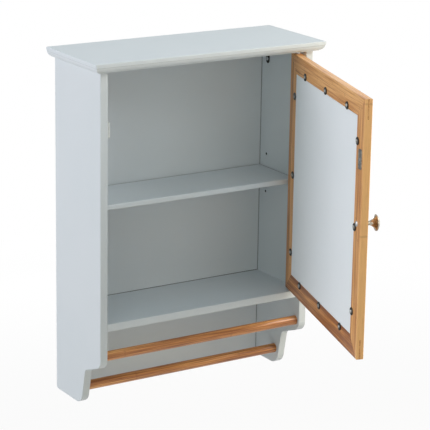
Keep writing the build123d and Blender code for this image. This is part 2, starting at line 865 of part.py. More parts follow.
def all_parts():
    """Every node's name with its finished shape."""
    backing_start = door_thickness - rebate_depth + mirror_thickness
    return {
        "left_side_panel": side_panel(-1),
        "right_side_panel": side_panel(1),
        "top_panel": top_panel(),
        "bottom_panel": bottom_panel(),
        "back_panel": back_panel(),
        "adjustable_shelf": adjustable_shelf(),
        "shelf_pins": shelf_pins(),
        "front_towel_rail": towel_rail(front_rail_y, front_rail_level),
        "rear_towel_rail": towel_rail(rear_rail_y, rear_rail_level),
        "top_dowels": top_dowels(),
        "bottom_dowels": bottom_dowels(),
        "corner_bracket_left": corner_bracket(-1),
        "corner_bracket_right": corner_bracket(1),
        "corner_bracket_screws": corner_bracket_screws(),
        "hanger_plate_left": hanger_plate(-1),
        "hanger_plate_right": hanger_plate(1),
        "hanger_screws": hanger_screws(),
        "hinge_stile": stile(1),
        "latch_stile": stile(-1),
        "door_top_rail": door_rail(1),
        "door_bottom_rail": door_rail(-1),
        "mitre_keys": mitre_keys(),
        "mirror_glass": pane(door_thickness - rebate_depth, mirror_thickness),
        "mirror_backing_board": pane(backing_start, backing_thickness),
        "mirror_clips": mirror_clips(),
        "mirror_clip_screws": mirror_clip_screws(),
        "knob": knob(),
        "knob_screw": knob_bolt(),
        "strike_plate": strike_plate(),
        "strike_screw": strike_plate_screw(),
        "catch_body": catch_body(),
        "catch_magnet": catch_magnet(),
        "catch_poles": catch_poles(),
        "catch_screws": catch_screws(),
        "upper_pivot_pin": pivot_pin(1),
        "lower_pivot_pin": pivot_pin(-1),
        "upper_pivot_socket": pivot_socket(1),
        "lower_pivot_socket": pivot_socket(-1),
        "pivot_washer": pivot_washer(),
    }


os.makedirs("parts", exist_ok=True)
for name, shape in all_parts().items():
    export_step(shape, "parts/" + name + ".step")
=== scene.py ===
import json
import math
import bmesh
import bpy
import numpy as np
from mathutils import Matrix, Vector


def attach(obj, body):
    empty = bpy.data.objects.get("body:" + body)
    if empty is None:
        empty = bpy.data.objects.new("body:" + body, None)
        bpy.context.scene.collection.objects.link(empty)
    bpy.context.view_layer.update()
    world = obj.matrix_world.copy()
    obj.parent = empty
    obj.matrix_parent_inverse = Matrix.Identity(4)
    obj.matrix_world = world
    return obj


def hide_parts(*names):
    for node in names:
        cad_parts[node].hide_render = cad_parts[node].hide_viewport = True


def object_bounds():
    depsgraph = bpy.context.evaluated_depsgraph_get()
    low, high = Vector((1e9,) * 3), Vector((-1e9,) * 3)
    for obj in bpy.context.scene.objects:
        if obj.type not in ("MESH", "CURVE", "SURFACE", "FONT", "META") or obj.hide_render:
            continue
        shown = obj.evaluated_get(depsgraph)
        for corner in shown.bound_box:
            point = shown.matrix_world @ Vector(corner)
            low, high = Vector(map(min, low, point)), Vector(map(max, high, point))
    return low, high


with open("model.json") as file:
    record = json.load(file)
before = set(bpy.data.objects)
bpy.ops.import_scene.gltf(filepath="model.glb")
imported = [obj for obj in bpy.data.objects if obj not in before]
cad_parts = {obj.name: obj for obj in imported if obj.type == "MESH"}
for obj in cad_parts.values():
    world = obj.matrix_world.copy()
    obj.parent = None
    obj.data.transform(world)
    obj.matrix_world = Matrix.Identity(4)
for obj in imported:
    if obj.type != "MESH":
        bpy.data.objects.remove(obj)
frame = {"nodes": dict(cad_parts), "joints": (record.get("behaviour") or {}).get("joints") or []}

# The camera of the photograph: a long lens to the cabinet's left and a little above it.
# Its image is 430 pixels square; the upright lines of the photograph are nearly parallel,
# which a small rise of the lens gives.
cad_low, cad_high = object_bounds()
image_size = 430
sensor = 36.0
camera_place = Vector((-1.80873, -3.06682, 0.72748))
camera_heading = math.radians(32.2)
camera_dip = math.radians(14.98)
camera_roll = math.radians(0.93)
focal_pixels = 1930.6
lens_rise_pixels = 30.0

camera_data = bpy.data.cameras.new("camera")
camera = bpy.data.objects.new("camera", camera_data)
bpy.context.scene.collection.objects.link(camera)
bpy.context.scene.camera = camera
camera_data.sensor_width = sensor
camera_data.lens = focal_pixels / image_size * sensor
camera_data.shift_y = -lens_rise_pixels / image_size
camera_data.clip_end = 100.0
aim = Matrix.Rotation(-camera_heading, 4, "Z")
aim = aim @ Matrix.Rotation(math.pi / 2 - camera_dip, 4, "X")
aim = aim @ Matrix.Rotation(camera_roll, 4, "Z")
camera.matrix_world = Matrix.Translation(camera_place) @ aim


# White paper studio: the world and the floor are white to the eye, and give the cabinet
# a plain soft light. The floor lies well below the hung cabinet and keeps its shadow.
class Wire:
    """One output of a shader node; sums and products of wires add their own Math nodes."""

    def __init__(self, tree, socket=None):
        self.tree = tree
        self.socket = socket

    def add(self, kind, settings=None, values=None, out=0):
        """Adds a node: first its settings, then the values or wires of its sockets."""
        node = self.tree.nodes.new(kind)
        for key, value in (settings or {}).items():
            if key == "stops":
                set_stops(node.color_ramp, value)
            else:
                setattr(node, key, value)
        for key, value in (values or {}).items():
            if isinstance(value, Wire):
                self.tree.links.new(value.socket, node.inputs[key])
            else:
                node.inputs[key].default_value = value
        return Wire(self.tree, node.outputs[out] if node.outputs else None)

    def maths(self, operation, *values):
        """One Math node, with this wire first and any further values after it."""
        values = dict(enumerate((self, *values)))
        return self.add("ShaderNodeMath", {"operation": operation}, values)

    def __add__(self, other):
        return self.maths("ADD", other)

    def __sub__(self, other):
        return self.maths("SUBTRACT", other)

    def __rsub__(self, other):
        return self.maths("MULTIPLY", -1.0).maths("ADD", other)

    def __mul__(self, other):
        return self.maths("MULTIPLY", other)

    __radd__ = __add__
    __rmul__ = __mul__

    def blend(self, start, end):
        """A colour between two colours, by this wire's value from 0 to 1."""
        return self.add("ShaderNodeMix", {"data_type": "RGBA"}, {0: self, 6: start, 7: end}, 2)

    def seen(self):
        """1 for what the camera sees itself, in a mirror or through glass, and 0 for light."""
        kinds = ("Camera", "Glossy", "Transmission")
        rays = [self.add("ShaderNodeLightPath", None, None, f"Is {kind} Ray") for kind in kinds]
        return rays[0].maths("MAXIMUM", rays[1]).maths("MAXIMUM", rays[2])

    def place(self):
        """The point on the piece, in its own object coordinates."""
        return self.add("ShaderNodeTexCoord", None, None, "Object")

    def noise(self, place, scale, detail):
        """Plain noise with the given number of waves per metre."""
        values = {"Vector": place, "Scale": scale, "Detail": detail}
        return self.add("ShaderNodeTexNoise", None, values)

    def drawn_out(self, along, across, through, long_scale, cross_scale):
        """Noise drawn out along one way, as wood fibres are."""
        values = {0: along * long_scale, 1: across * cross_scale, 2: through * cross_scale}
        return self.noise(self.add("ShaderNodeCombineXYZ", None, values), 1.0, 2.0)

    def bump(self, height):
        """The normal of a surface that rises by this wire's value times the height in metres."""
        values = {"Height": self, "Strength": 1.0, "Distance": height}
        return self.add("ShaderNodeBump", None, values)

    def principled(self, values):
        """The finished surface, from the values and wires of its sockets."""
        shader = self.add("ShaderNodeBsdfPrincipled", None, values)
        self.add("ShaderNodeOutputMaterial", None, {"Surface": shader})

    def other(self, name):
        """Another output of the same node."""
        return Wire(self.tree, self.socket.node.outputs[name])

    def between(self, low, high):
        """1 where this wire's value lies between the two, and 0 elsewhere."""
        return self.maths("GREATER_THAN", low) * self.maths("LESS_THAN", high)

    def step(self, low, high):
        """Rises smoothly from 0 at low to 1 at high."""
        values = {0: self, 1: low, 2: high, 3: 0.0, 4: 1.0}
        settings = {"interpolation_type": "SMOOTHSTEP"}
        return self.add("ShaderNodeMapRange", settings, values)


def set_stops(ramp, stops):
    """Gives a colour ramp its stops, each a place from 0 to 1 and a colour."""
    while len(ramp.elements) > 1:
        ramp.elements.remove(ramp.elements[-1])
    ramp.elements[0].position, ramp.elements[0].color = stops[0]
    for place, colour in stops[1:]:
        ramp.elements.new(place).color = colour


def rgba(red, green, blue):
    """A colour written as the screen shows it, 0 to 255, turned into scene light."""
    shown = np.array((red, green, blue)) / 255.0
    light = np.where(shown <= 0.04045, shown / 12.92, ((shown + 0.055) / 1.055) ** 2.4)
    return (*light.tolist(), 1.0)


paper_white = (1.0, 1.0, 1.0, 1.0)
paper_matt = (0.68, 0.68, 0.68, 1.0)
room_light = (0.94, 0.97, 1.0, 1.0)
room_strength = 0.04
floor_drop = 0.55
floor_reach = 30.0
near_share = 0.92
shadow_reach = (0.9, 2.4)

world = bpy.data.worlds.new("studio")
bpy.context.scene.world = world
world.use_nodes = True
world.node_tree.nodes.clear()
sky = Wire(world.node_tree)
lit = sky.add("ShaderNodeBackground", None, {"Color": room_light, "Strength": room_strength})
white = sky.add("ShaderNodeBackground", None, {"Color": paper_white, "Strength": 1.0})
shown = sky.add("ShaderNodeMixShader", None, {0: sky.seen(), 1: lit, 2: white})
sky.add("ShaderNodeOutputWorld", None, {"Surface": shown})

bpy.context.scene.view_settings.view_transform = "Standard"


def blank(name):
    """A material with an empty node tree, and a wire to start in it."""
    material = bpy.data.materials.new(name)
    material.use_nodes = True
    material.node_tree.nodes.clear()
    return material, Wire(material.node_tree)


def new_piece(name, points, faces, material, smooth=True):
    """An object at the origin from rows of points and faces, its place being in its mesh."""
    mesh = bpy.data.meshes.new(name)
    mesh.from_pydata(points.tolist(), [], faces)
    mesh.polygons.foreach_set("use_smooth", [smooth] * len(mesh.polygons))
    mesh.materials.append(material)
    mesh.update()
    piece = bpy.data.objects.new(name, mesh)
    bpy.context.scene.collection.objects.link(piece)
    return piece


paper, sheet = blank("white_paper")
matt = sheet.add("ShaderNodeBsdfDiffuse", None, {"Color": paper_matt})
glow = sheet.add("ShaderNodeEmission", None, {"Color": paper_white, "Strength": 1.0})
clear = sheet.add("ShaderNodeBsdfTransparent")
away = sheet.add("ShaderNodeVectorMath", {"operation": "LENGTH"}, {0: sheet.place()}, 1)
far = away.step(floor_drop + shadow_reach[0], floor_drop + shadow_reach[1])
share = far * (1 - near_share) + near_share
front = sheet.add("ShaderNodeMixShader", None, {0: sheet.seen() * share, 1: matt, 2: glow})
behind = sheet.add("ShaderNodeNewGeometry", None, None, "Backfacing")
both = sheet.add("ShaderNodeMixShader", None, {0: behind, 1: front, 2: clear})
sheet.add("ShaderNodeOutputMaterial", None, {"Surface": both})

floor_level = cad_low.z - floor_drop
floor_corners = np.array([(-1, -1, 0), (1, -1, 0), (1, 1, 0), (-1, 1, 0)]) * floor_reach
floor_corners[:, 2] = floor_level
new_piece("floor", floor_corners, [(0, 1, 2, 3)], paper)


def softbox(name, place, size, power, colour):
    """A square soft lamp that faces the cabinet's middle."""
    lamp = bpy.data.lights.new(name, "AREA")
    lamp.size = size
    lamp.energy = power
    lamp.color = colour
    holder = bpy.data.objects.new(name, lamp)
    bpy.context.scene.collection.objects.link(holder)
    holder.visible_camera = False
    holder.location = place
    towards = (cad_low + cad_high) / 2 - Vector(place)
    holder.rotation_euler = towards.to_track_quat("-Z", "Y").to_euler()


softbox("left_lamp", (-2.2, 0.5, 0.4), 1.8, 37.4, (0.964, 0.955, 1.0))
softbox("left_front_lamp", (-2.0, -1.4, 0.3), 1.6, 8.2, (0.969, 1.0, 0.907))
softbox("top_lamp", (-0.3, -0.2, 2.2), 1.6, 14.5, (0.764, 0.928, 1.0))
softbox("top_front_lamp", (0.2, -1.9, 1.9), 1.6, 14.6, (0.941, 1.0, 0.972))
softbox("front_lamp", (-0.5, -2.9, 0.2), 1.6, 10.5, (1.0, 0.926, 0.761))
softbox("right_lamp", (1.5, -0.7, 0.0), 1.0, 18.5, (1.0, 0.847, 0.591))
softbox("right_high_lamp", (1.2, -1.0, 0.8), 0.8, 16.0, (1.0, 0.976, 0.95))
softbox("rear_lamp", (1.0, 2.3, -0.6), 0.8, 14.0, (0.97, 0.99, 1.0))


# Painted boards: both sides, the moulded top, the bottom, the back and the loose shelf are
# fibreboard sprayed a pale cool grey with a satin film. Drilled holes show the raw board,
# darkened with painted shade, and painted shade lines the gaps round the back and the shelf.
paint_colour = rgba(206, 213, 218)
paint_shade = rgba(203, 211, 216)
# Raw board brown darkened almost to black: painted shade inside the drilled holes.
raw_board_and_hole_shade = rgba(34, 29, 25)
# Painted shade for the narrow gaps round the back and the shelf and in the moulding's step.
joint_shade = rgba(104, 108, 110)
paint_ripple = 0.00004
hole_span_x = (0.2103, 0.2247)
hole_span_y = (-0.15, -0.028)
hole_span_z = (-0.44, 0.044)
inner_x = 0.210
under_top = 0.045
floor_top = -0.4205
back_front = -0.024
joint_width = 0.0009
skin = 0.00002
moulding_step = (0.0552, 0.0561)
shelf_box = np.array(frame["nodes"]["adjustable_shelf"].bound_box)
shelf_end, shelf_rear = shelf_box[:, 0].max().item(), shelf_box[:, 1].max().item()


def painted_shade_round_the_back(out, y, z):
    """Painted shade in the thin open joint round the back: on the boards beside it and on its
    own edges. A fainter line of painted shade lies in the step of the top's moulding."""
    beside = y.between(back_front - joint_width, back_front - skin)
    beside = beside * out.maths("LESS_THAN", inner_x + skin)
    beside = beside * z.maths("LESS_THAN", under_top + skin)
    edges = out.between(inner_x - joint_width, inner_x + skin)
    edges = edges.maths("MAXIMUM", z.between(floor_top - skin, floor_top + joint_width))
    joint = beside.maths("MAXIMUM", edges * y.between(back_front - skin, back_front + skin))
    return joint.maths("MAXIMUM", z.between(*moulding_step) * 0.4)


def painted_shade_round_the_shelf(out, y, z):
    """The painted shade in the gaps at the loose shelf's ends and behind it."""
    ends = out.maths("GREATER_THAN", shelf_end - joint_width)
    return ends.maths("MAXIMUM", y.maths("GREATER_THAN", shelf_rear - joint_width))


def painted_board(name, joints):
    """Satin paint: a slow drift of tone, a fine spray ripple and a slightly uneven gloss."""
    material, wire = blank(name)
    place = wire.place()
    drift = wire.noise(place, 6.0, 2.0)
    ripple = wire.noise(place, 420.0, 2.0)
    x = wire.add("ShaderNodeSeparateXYZ", None, {0: place})
    y, z = x.other("Y"), x.other("Z")
    out = x.maths("ABSOLUTE")
    drilled = out.between(*hole_span_x) * y.between(*hole_span_y) * z.between(*hole_span_z)
    film = drift.step(0.3, 0.7).blend(paint_colour, paint_shade)
    # Painted shade: the film darkens to joint_shade where the joints mask marks a gap or the
    # step.
    film = joints(out, y, z).blend(film, joint_shade)
    wire.principled({
        "Base Color": drilled.blend(film, raw_board_and_hole_shade),
        "Roughness": ripple * 0.08 + drilled * 0.4 + 0.36,
        "Normal": ripple.bump(paint_ripple),
    })
    return material


def dress(material, *names):
    """Gives CAD nodes a finish in place of their plain one."""
    for name in names:
        slots = frame["nodes"][name].data.materials
        slots.clear()
        slots.append(material)


paint = painted_board("pale_paint", painted_shade_round_the_back)
dress(paint, "left_side_panel", "right_side_panel", "top_panel", "bottom_panel", "back_panel")
dress(painted_board("pale_paint_shelf", painted_shade_round_the_shelf), "adjustable_shelf")


# Shelf pins and keyhole hangers: small steel fittings, turned or pressed, and zinc plated.
# The pins push into drilled holes, and the hangers are screwed into the rear edges.
zinc_light = rgba(206, 208, 210)
zinc_shade = rgba(168, 171, 174)


def plated(name, light, shade, gloss):
    """Metal with a cloudy plating and fine drawing marks; gloss is its least roughness."""
    material, wire = blank(name)
    place = wire.place()
    cloud = wire.noise(place, 260.0, 3.0)
    marks = wire.noise(place, 2600.0, 2.0)
    wire.principled({
        "Base Color": cloud.step(0.35, 0.65).blend(light, shade),
        "Metallic": 1.0,
        "Roughness": marks * 0.12 + cloud * 0.1 + gloss,
        "Normal": marks.bump(0.000008),
    })
    return material


zinc = plated("zinc_steel", zinc_light, zinc_shade, 0.18)
dress(zinc, "shelf_pins", "hanger_plate_left", "hanger_plate_right", "hanger_screws")


# Towel rails: two round bars turned from strips of caramel bamboo glued side by side,
# their ends glued into the side panels, and the surface lacquered.
rail_radius = 0.009
rail_reach = 0.2185
rail_end_ease = 0.0006
rail_places = {"front_towel_rail": (-0.158, -0.486), "rear_towel_rail": (-0.089, -0.5645)}
bamboo_dark = rgba(140, 80, 34)
bamboo_middle = rgba(203, 138, 74)
bamboo_light = rgba(238, 184, 118)
strip_width = 0.0058
joint_spacing = 0.23
round_steps = 96
sharp_edge = math.radians(38.0)


def bamboo(name, timber, painted_light_lift=0.0, highlight_edge=-1.0):
    """Lacquered bamboo strips that run along x and lie side by side in y of timber's space.
    The lift paints light over the whole bar above 0 and shade below 0, and the face
    beyond the edge given last carries a painted highlight."""
    material, wire = blank(name)
    turn = {"Location": timber.to_translation(), "Rotation": timber.to_euler()}
    values = {"Vector": wire.place(), **turn}
    local = wire.add("ShaderNodeMapping", {"vector_type": "POINT"}, values)
    along = wire.add("ShaderNodeSeparateXYZ", None, {0: local})
    across, through = along.other("Y"), along.other("Z")
    strips = across * (1 / strip_width)
    seed = wire.add("ShaderNodeCombineXYZ", None, {0: strips.maths("FLOOR"), 1: 3.7, 2: 1.3})
    own = wire.add("ShaderNodeTexWhiteNoise", {"noise_dimensions": "3D"}, {"Vector": seed})
    fibres = wire.drawn_out(along, across, through, 12.0, 850.0)
    bundles = wire.drawn_out(along, across, through, 30.0, 2400.0)
    sweep = wire.drawn_out(along, across, through, 4.0, 120.0)
    ragged = wire.noise(local, 700.0, 1.0) * 0.01
    phase = (along * (1 / joint_spacing) + own * 7.0 + ragged).maths("FRACT")
    off_joint = (phase - 0.5).maths("ABSOLUTE") * joint_spacing
    joint = 1.0 - off_joint.step(0.0006, 0.003)
    seam = (strips.maths("FRACT") - 0.5).maths("ABSOLUTE").step(0.465, 0.495)
    # Painted highlight: the face beyond the given edge is made paler.
    outer = 1.0 - across.step(highlight_edge, highlight_edge + 0.0008)
    # Painted light and shade: the lift makes the whole bar paler or darker.
    tone = fibres * 1.25 + own * 0.3 + sweep * 0.8 + outer * 0.3 + (painted_light_lift - 0.67)
    stops = [(0.2, bamboo_dark), (0.5, bamboo_middle), (0.8, bamboo_light)]
    colour = wire.add("ShaderNodeValToRGB", {"stops": stops}, {0: tone})
    dark = bundles.step(0.56, 0.72) * 0.4 + joint * 0.26 + seam * 0.16
    wire.principled({
        "Base Color": dark.blend(colour, bamboo_dark),
        "Roughness": fibres * 0.14 + 0.34,
        "Normal": (fibres + bundles * 0.5).bump(0.00005),
        "Coat Weight": 0.25,
        "Coat Roughness": 0.18,
    })
    return material


def ring_faces(rows, columns):
    """Quads between neighbouring rings of points, each ring being closed on itself."""
    i, j = np.meshgrid(np.arange(rows - 1), np.arange(columns), indexing="ij")
    k = (j + 1) % columns
    corners = [i * columns + j, i * columns + k, (i + 1) * columns + k, (i + 1) * columns + j]
    return np.stack(corners, -1).reshape(-1, 4)


def turned(profile, segments):
    """A turned shape: each point (radius, height) of the profile goes once round the z axis,
    to (radius cos a, radius sin a, height). The profile starts and ends on the axis."""
    radius, height = np.asarray(profile, float).T
    angle = np.linspace(0, 2 * np.pi, segments, endpoint=False)
    x = np.outer(radius[1:-1], np.cos(angle))
    y = np.outer(radius[1:-1], np.sin(angle))
    z = np.repeat(height[1:-1, None], segments, axis=1)
    rings = np.stack([x, y, z], -1).reshape(-1, 3)
    points = np.vstack([rings, (0, 0, height[0]), (0, 0, height[-1])])
    first = np.arange(segments)
    after = (first + 1) % segments
    last = len(rings) - segments
    start = np.stack([after, first, np.full(segments, len(rings))], -1)
    end = np.stack([last + first, last + after, np.full(segments, len(rings) + 1)], -1)
    return points, [ring_faces(len(radius) - 2, segments), start, end]


def at_places(shape, places):
    """The same shape once at each place, a place being a matrix."""
    points, groups = shape
    steps = range(len(places))
    grids = [np.array(place) for place in places]
    copies = np.vstack([points @ grid[:3, :3].T + grid[:3, 3] for grid in grids])
    return copies, [np.vstack([group + len(points) * step for step in steps]) for group in groups]


def fitted(name, shape, material, body, slot, *nodes):
    """A finished piece that rides on a body and stands for CAD nodes."""
    points, groups = shape
    faces = [face for group in groups for face in group.tolist()]
    piece = new_piece(name, points, faces, material)
    piece.data.set_sharp_from_angle(angle=sharp_edge)
    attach(piece, body)
    if nodes:
        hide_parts(*nodes)
    return piece


rail_profile = [(0, -rail_reach), (rail_radius - rail_end_ease, -rail_reach)]
rail_profile += [(rail_radius, rail_end_ease - rail_reach)]
rail_profile += [(rail_radius, rail_reach - rail_end_ease)]
rail_profile += [(rail_radius - rail_end_ease, rail_reach), (0, rail_reach)]
# The towel rails' bamboo is darkened as painted shade, for the little light that reaches them
# from below.
rail_wood = bamboo("bamboo_towel_rails", Matrix.Identity(4), -0.2)
for node, (y, z) in rail_places.items():
    lying = Matrix.Translation((0, y, z)) @ Matrix.Rotation(math.pi / 2, 4, "Y")
    bar = at_places(turned(rail_profile, round_steps), [lying])
    fitted(node + "_bar", bar, rail_wood, "cabinet", "bamboo", node)


# Dowels: beech pins, glued into holes, that join the sides to the top and the bottom. They
# are hidden once the boards are together.
def beech(name):
    """Pale close-grained wood with short flecks."""
    material, wire = blank(name)
    place = wire.place()
    grain = wire.noise(place, 900.0, 3.0)
    wire.principled({
        "Base Color": grain.step(0.35, 0.65).blend(rgba(222, 190, 150), rgba(190, 150, 108)),
        "Roughness": grain * 0.2 + 0.5,
        "Normal": grain.bump(0.00003),
    })
    return material


dress(beech("beech"), "top_dowels", "bottom_dowels")


# Corner brackets: tapered steel strips, blanked, bent to a right angle and blackened, with a
# pan-head screw through each leg into the side and the top.
bracket_y = -0.045
bracket_leg = 0.046
bracket_half = 0.008
bracket_tip = 0.0045
bracket_shoulder = 0.014
bracket_thickness = 0.0018
bracket_bend = 0.0024
bracket_hole = 0.037
pan_screw = (0.0035, 0.012, 0.007, 0.0022)
leg_rows = 40
bend_rows = 15
section_points = 28
screw_steps = 64
blackened = plated("dark_steel", rgba(74, 73, 72), rgba(48, 47, 46), 0.3)


def bracket_strip(side):
    """A strip carried along an L with a rounded corner. Its section is a flat superellipse, and
    its half width falls evenly from the shoulder to the tip, which ends in a half circle."""
    near = bracket_thickness / 2
    bend = near + bracket_bend
    turn = np.linspace(0, math.pi / 2, bend_rows)
    along = bracket_leg - bend
    ease = np.sin(np.linspace(0, math.pi / 2, leg_rows)) * along
    upright = np.stack([np.full(leg_rows, near), bracket_leg - ease], -1)
    corner = bend - bracket_bend * np.stack([np.cos(turn), np.sin(turn)], -1)
    path = np.vstack([upright[:-1], corner, upright[::-1][1:, ::-1]])
    path[0, 1] -= 0.00004
    path[-1, 0] -= 0.00004
    heading = np.gradient(path, axis=0)
    heading /= np.linalg.norm(heading, axis=1)[:, None]
    sideways = np.stack([-heading[:, 1], heading[:, 0]], -1)
    reach = path.max(axis=1)
    tip_start = bracket_leg - bracket_tip
    taper = np.interp(reach, [bracket_shoulder, tip_start], [bracket_half, bracket_tip])
    into_tip = np.clip(reach - tip_start, 0, bracket_tip)
    half = np.where(reach > tip_start, np.sqrt(bracket_tip ** 2 - into_tip ** 2), taper)
    angle = np.linspace(0, 2 * np.pi, section_points, endpoint=False)
    wide = np.sign(np.cos(angle)) * np.abs(np.cos(angle)) ** 0.3
    thick = np.sign(np.sin(angle)) * np.abs(np.sin(angle)) ** 0.3 * near
    x = path[:, :1] + sideways[:, :1] * thick
    drop = path[:, 1:] + sideways[:, 1:] * thick
    y = bracket_y + half[:, None] * wide
    points = np.stack([side * (inner_x - x), y, under_top - drop], -1).reshape(-1, 3)
    first = np.arange(section_points)[None]
    last = first + len(points) - section_points
    return points, [ring_faces(len(path), section_points), first[:, ::-1], last]


def outward(piece):
    """Turns a closed mesh's faces to point outwards."""
    shell = bmesh.new()
    shell.from_mesh(piece.data)
    bmesh.ops.recalc_face_normals(shell, faces=shell.faces)
    shell.to_mesh(piece.data)
    shell.free()


def pan_head(size):
    """A pan-head screw along z, its seat at height 0: a domed head, its height falling off as an
    ellipse from the middle, with a cross pressed in, and a plain shank with a blunt point."""
    shank, length, head, height = size
    fall = np.linspace(0, math.pi / 2, 22)
    rim = height * 0.4
    dome = np.stack([head / 2 * np.cos(fall), rim + (height - rim) * np.sin(fall)], -1)
    stem = [(0, -length), (shank * 0.2, -length), (shank / 2, -length + shank * 0.6)]
    stem += [(shank / 2, -0.0001), (shank / 2 + 0.0001, 0)]
    stem += [(head / 2 - 0.0002, 0), (head / 2, 0.0002)]
    points, groups = turned(np.vstack([stem, dome]), screw_steps)
    x, y = np.abs(points[:, 0]), np.abs(points[:, 1])
    arm, slot, soft = head * 0.28, head * 0.06, head * 0.02
    reach = np.clip((arm - np.maximum(x, y)) / soft, 0, 1)
    cross = np.clip((slot - np.minimum(x, y)) / soft + 0.5, 0, 1) * reach
    points[:, 2] -= np.where(points[:, 2] > rim, cross * height * 0.5, 0)
    return points, groups


def facing(x, y, z, angle, axis):
    """A place at a point, turned by an angle in degrees about one axis."""
    return Matrix.Translation((x, y, z)) @ Matrix.Rotation(math.radians(angle), 4, axis)


bracket_seats = []
for side, name in ((-1, "left"), (1, "right")):
    shape, node = bracket_strip(side), "corner_bracket_" + name
    strip = fitted("bracket_" + name, shape, blackened, "cabinet", "dark_steel", node)
    outward(strip)
    on_side = (side * (inner_x - bracket_thickness), bracket_y, under_top - bracket_hole)
    on_top = (side * (inner_x - bracket_hole), bracket_y, under_top - bracket_thickness)
    bracket_seats += [facing(*on_side, -side * 90, "Y"), facing(*on_top, 180, "X")]
bracket_screws = at_places(pan_head(pan_screw), bracket_seats)
fitted("bracket_screws", bracket_screws, zinc, "cabinet", "zinc_steel", "corner_bracket_screws")


# Door frame: four rebated bamboo bars, mitred at the corners, with a thin bamboo key glued
# across each mitre and sanded flush. It swings on two pins, and stands open here.
hinge = next(joint for joint in frame["joints"] if joint["name"] == "door_hinge")
pivot = Vector(hinge["pos_m"])
open_angle = math.radians(73.0)
latch_edge = -0.2078
swing = Matrix.Translation(pivot) @ Matrix.Rotation(open_angle, 4, "Z")
swing = swing @ Matrix.Translation(-pivot)
flat_sawn = Matrix.Rotation(math.pi / 2, 4, "X")
level_timber = flat_sawn @ swing.inverted()
upright_timber = flat_sawn @ Matrix.Rotation(math.pi / 2, 4, "Y") @ swing.inverted()
key_timber = Matrix.Rotation(math.pi / 4, 4, "Y") @ swing.inverted()
# The lifts below are painted light and shade: the top rail paler and the bottom rail darker for
# how light falls.
dress(bamboo("bamboo_top_rail", level_timber, 0.2), "door_top_rail")
dress(bamboo("bamboo_bottom_rail", level_timber, -0.25), "door_bottom_rail")
dress(bamboo("bamboo_hinge_stile", upright_timber, 0.05), "hinge_stile")
# The latch stile's free edge carries a painted highlight.
dress(bamboo("bamboo_latch_stile", upright_timber, 0.04, latch_edge), "latch_stile")
dress(bamboo("bamboo_keys", key_timber), "mitre_keys")


# Mirror: silvered float glass, set in the frame's rebate from behind, with a grey-white
# hardboard sheet over its back.
def silvered_glass(name):
    """A mirror with the faintest haze on it."""
    material, wire = blank(name)
    haze = wire.noise(wire.place(), 9.0, 3.0)
    wire.principled({
        "Base Color": haze.step(0.3, 0.7).blend(rgba(243, 247, 246), rgba(238, 243, 243)),
        "Metallic": 1.0,
        "Roughness": haze.step(0.4, 0.8) * 0.02 + 0.01,
    })
    return material


def hardboard(name):
    """Smooth coated board: cloudy at arm's length, and finely pressed close to."""
    material, wire = blank(name)
    place = wire.place()
    cloud = wire.noise(place, 14.0, 3.0)
    press = wire.noise(place, 1100.0, 3.0)
    tone = cloud * 0.3 + press * 0.7
    wire.principled({
        "Base Color": tone.step(0.35, 0.65).blend(rgba(235, 240, 244), rgba(231, 237, 241)),
        "Roughness": press * 0.15 + 0.42,
        "Normal": press.bump(0.00003),
    })
    return material


dress(silvered_glass("mirror"), "mirror_glass")
dress(hardboard("grey_board"), "mirror_backing_board")


# Mirror clips: twelve pressed steel discs, each held by a pan-head screw in the frame and
# lapping over the edge of the backing board.
door_rear = -0.158
door_half = 0.208
door_top = 0.041
door_foot = -0.4175
door_mid = (door_top + door_foot) / 2
clip_radius = 0.007
clip_thickness = 0.0015
clip_rim = 0.0005
clip_inset = 0.030
clip_step_x = 0.118
clip_step_z = 0.151
clip_screw = (0.003, 0.010, 0.0065, 0.002)
clip_turn = 0.7
disc_steps = 48
worn = plated("worn_steel", rgba(172, 172, 169), rgba(128, 127, 124), 0.28)


def door_face(x, z, proud=0.0):
    """A place on the open door's inner face, facing out of it."""
    return swing @ facing(x, door_rear + proud, z, -90, "X")


def pressed_disc():
    """A turned disc with a quarter circle for its rim, its face dishing a little inwards."""
    turn = np.linspace(0, math.pi / 2, 8)
    rim_in = clip_radius - clip_rim
    centre = (rim_in, clip_thickness - clip_rim)
    rim = centre + clip_rim * np.stack([np.cos(turn), np.sin(turn)], -1)
    inward = np.linspace(rim_in, 0, 12)[1:]
    dish = clip_thickness - 0.0002 * (1 - inward / rim_in)
    foot = [(0, 0), (clip_radius - 0.0001, 0), (clip_radius, 0.0001)]
    return turned(np.vstack([foot, rim, np.stack([inward, dish], -1)]), disc_steps)


clip_rows = (door_top - clip_inset, door_foot + clip_inset)
clip_columns = (clip_inset - door_half, door_half - clip_inset)
clip_spots = [(step * clip_step_x, z) for step in (-1, 0, 1) for z in clip_rows]
clip_spots += [(x, door_mid + step * clip_step_z) for step in (-1, 0, 1) for x in clip_columns]
discs = at_places(pressed_disc(), [door_face(x, z) for x, z in clip_spots])
fitted("clip_discs", discs, blackened, "door", "dark_steel", "mirror_clips")
seats = [
    door_face(x, z, clip_thickness - 0.0002) @ Matrix.Rotation(clip_turn * step, 4, "Z")
    for step, (x, z) in enumerate(clip_spots)
]
screws = at_places(pan_head(clip_screw), seats)
fitted("clip_screws", screws, worn, "door", "zinc_steel", "mirror_clip_screws")


# Knob: turned from solid metal and polished. A screw from the inner face of the door holds
# it, and its head shows there.
front_y = -0.172
knob_x = -0.1884
knob_level = -0.1795
knob_reach = 0.026
knob_head = 0.0145
knob_neck = 0.0038
knob_base = (0.0055, 0.0012)
knob_neck_span = (0.005, 0.008)
knob_rim = (0.019, 0.0026)
knob_screw = (0.004, 0.0245, 0.010, 0.0026)


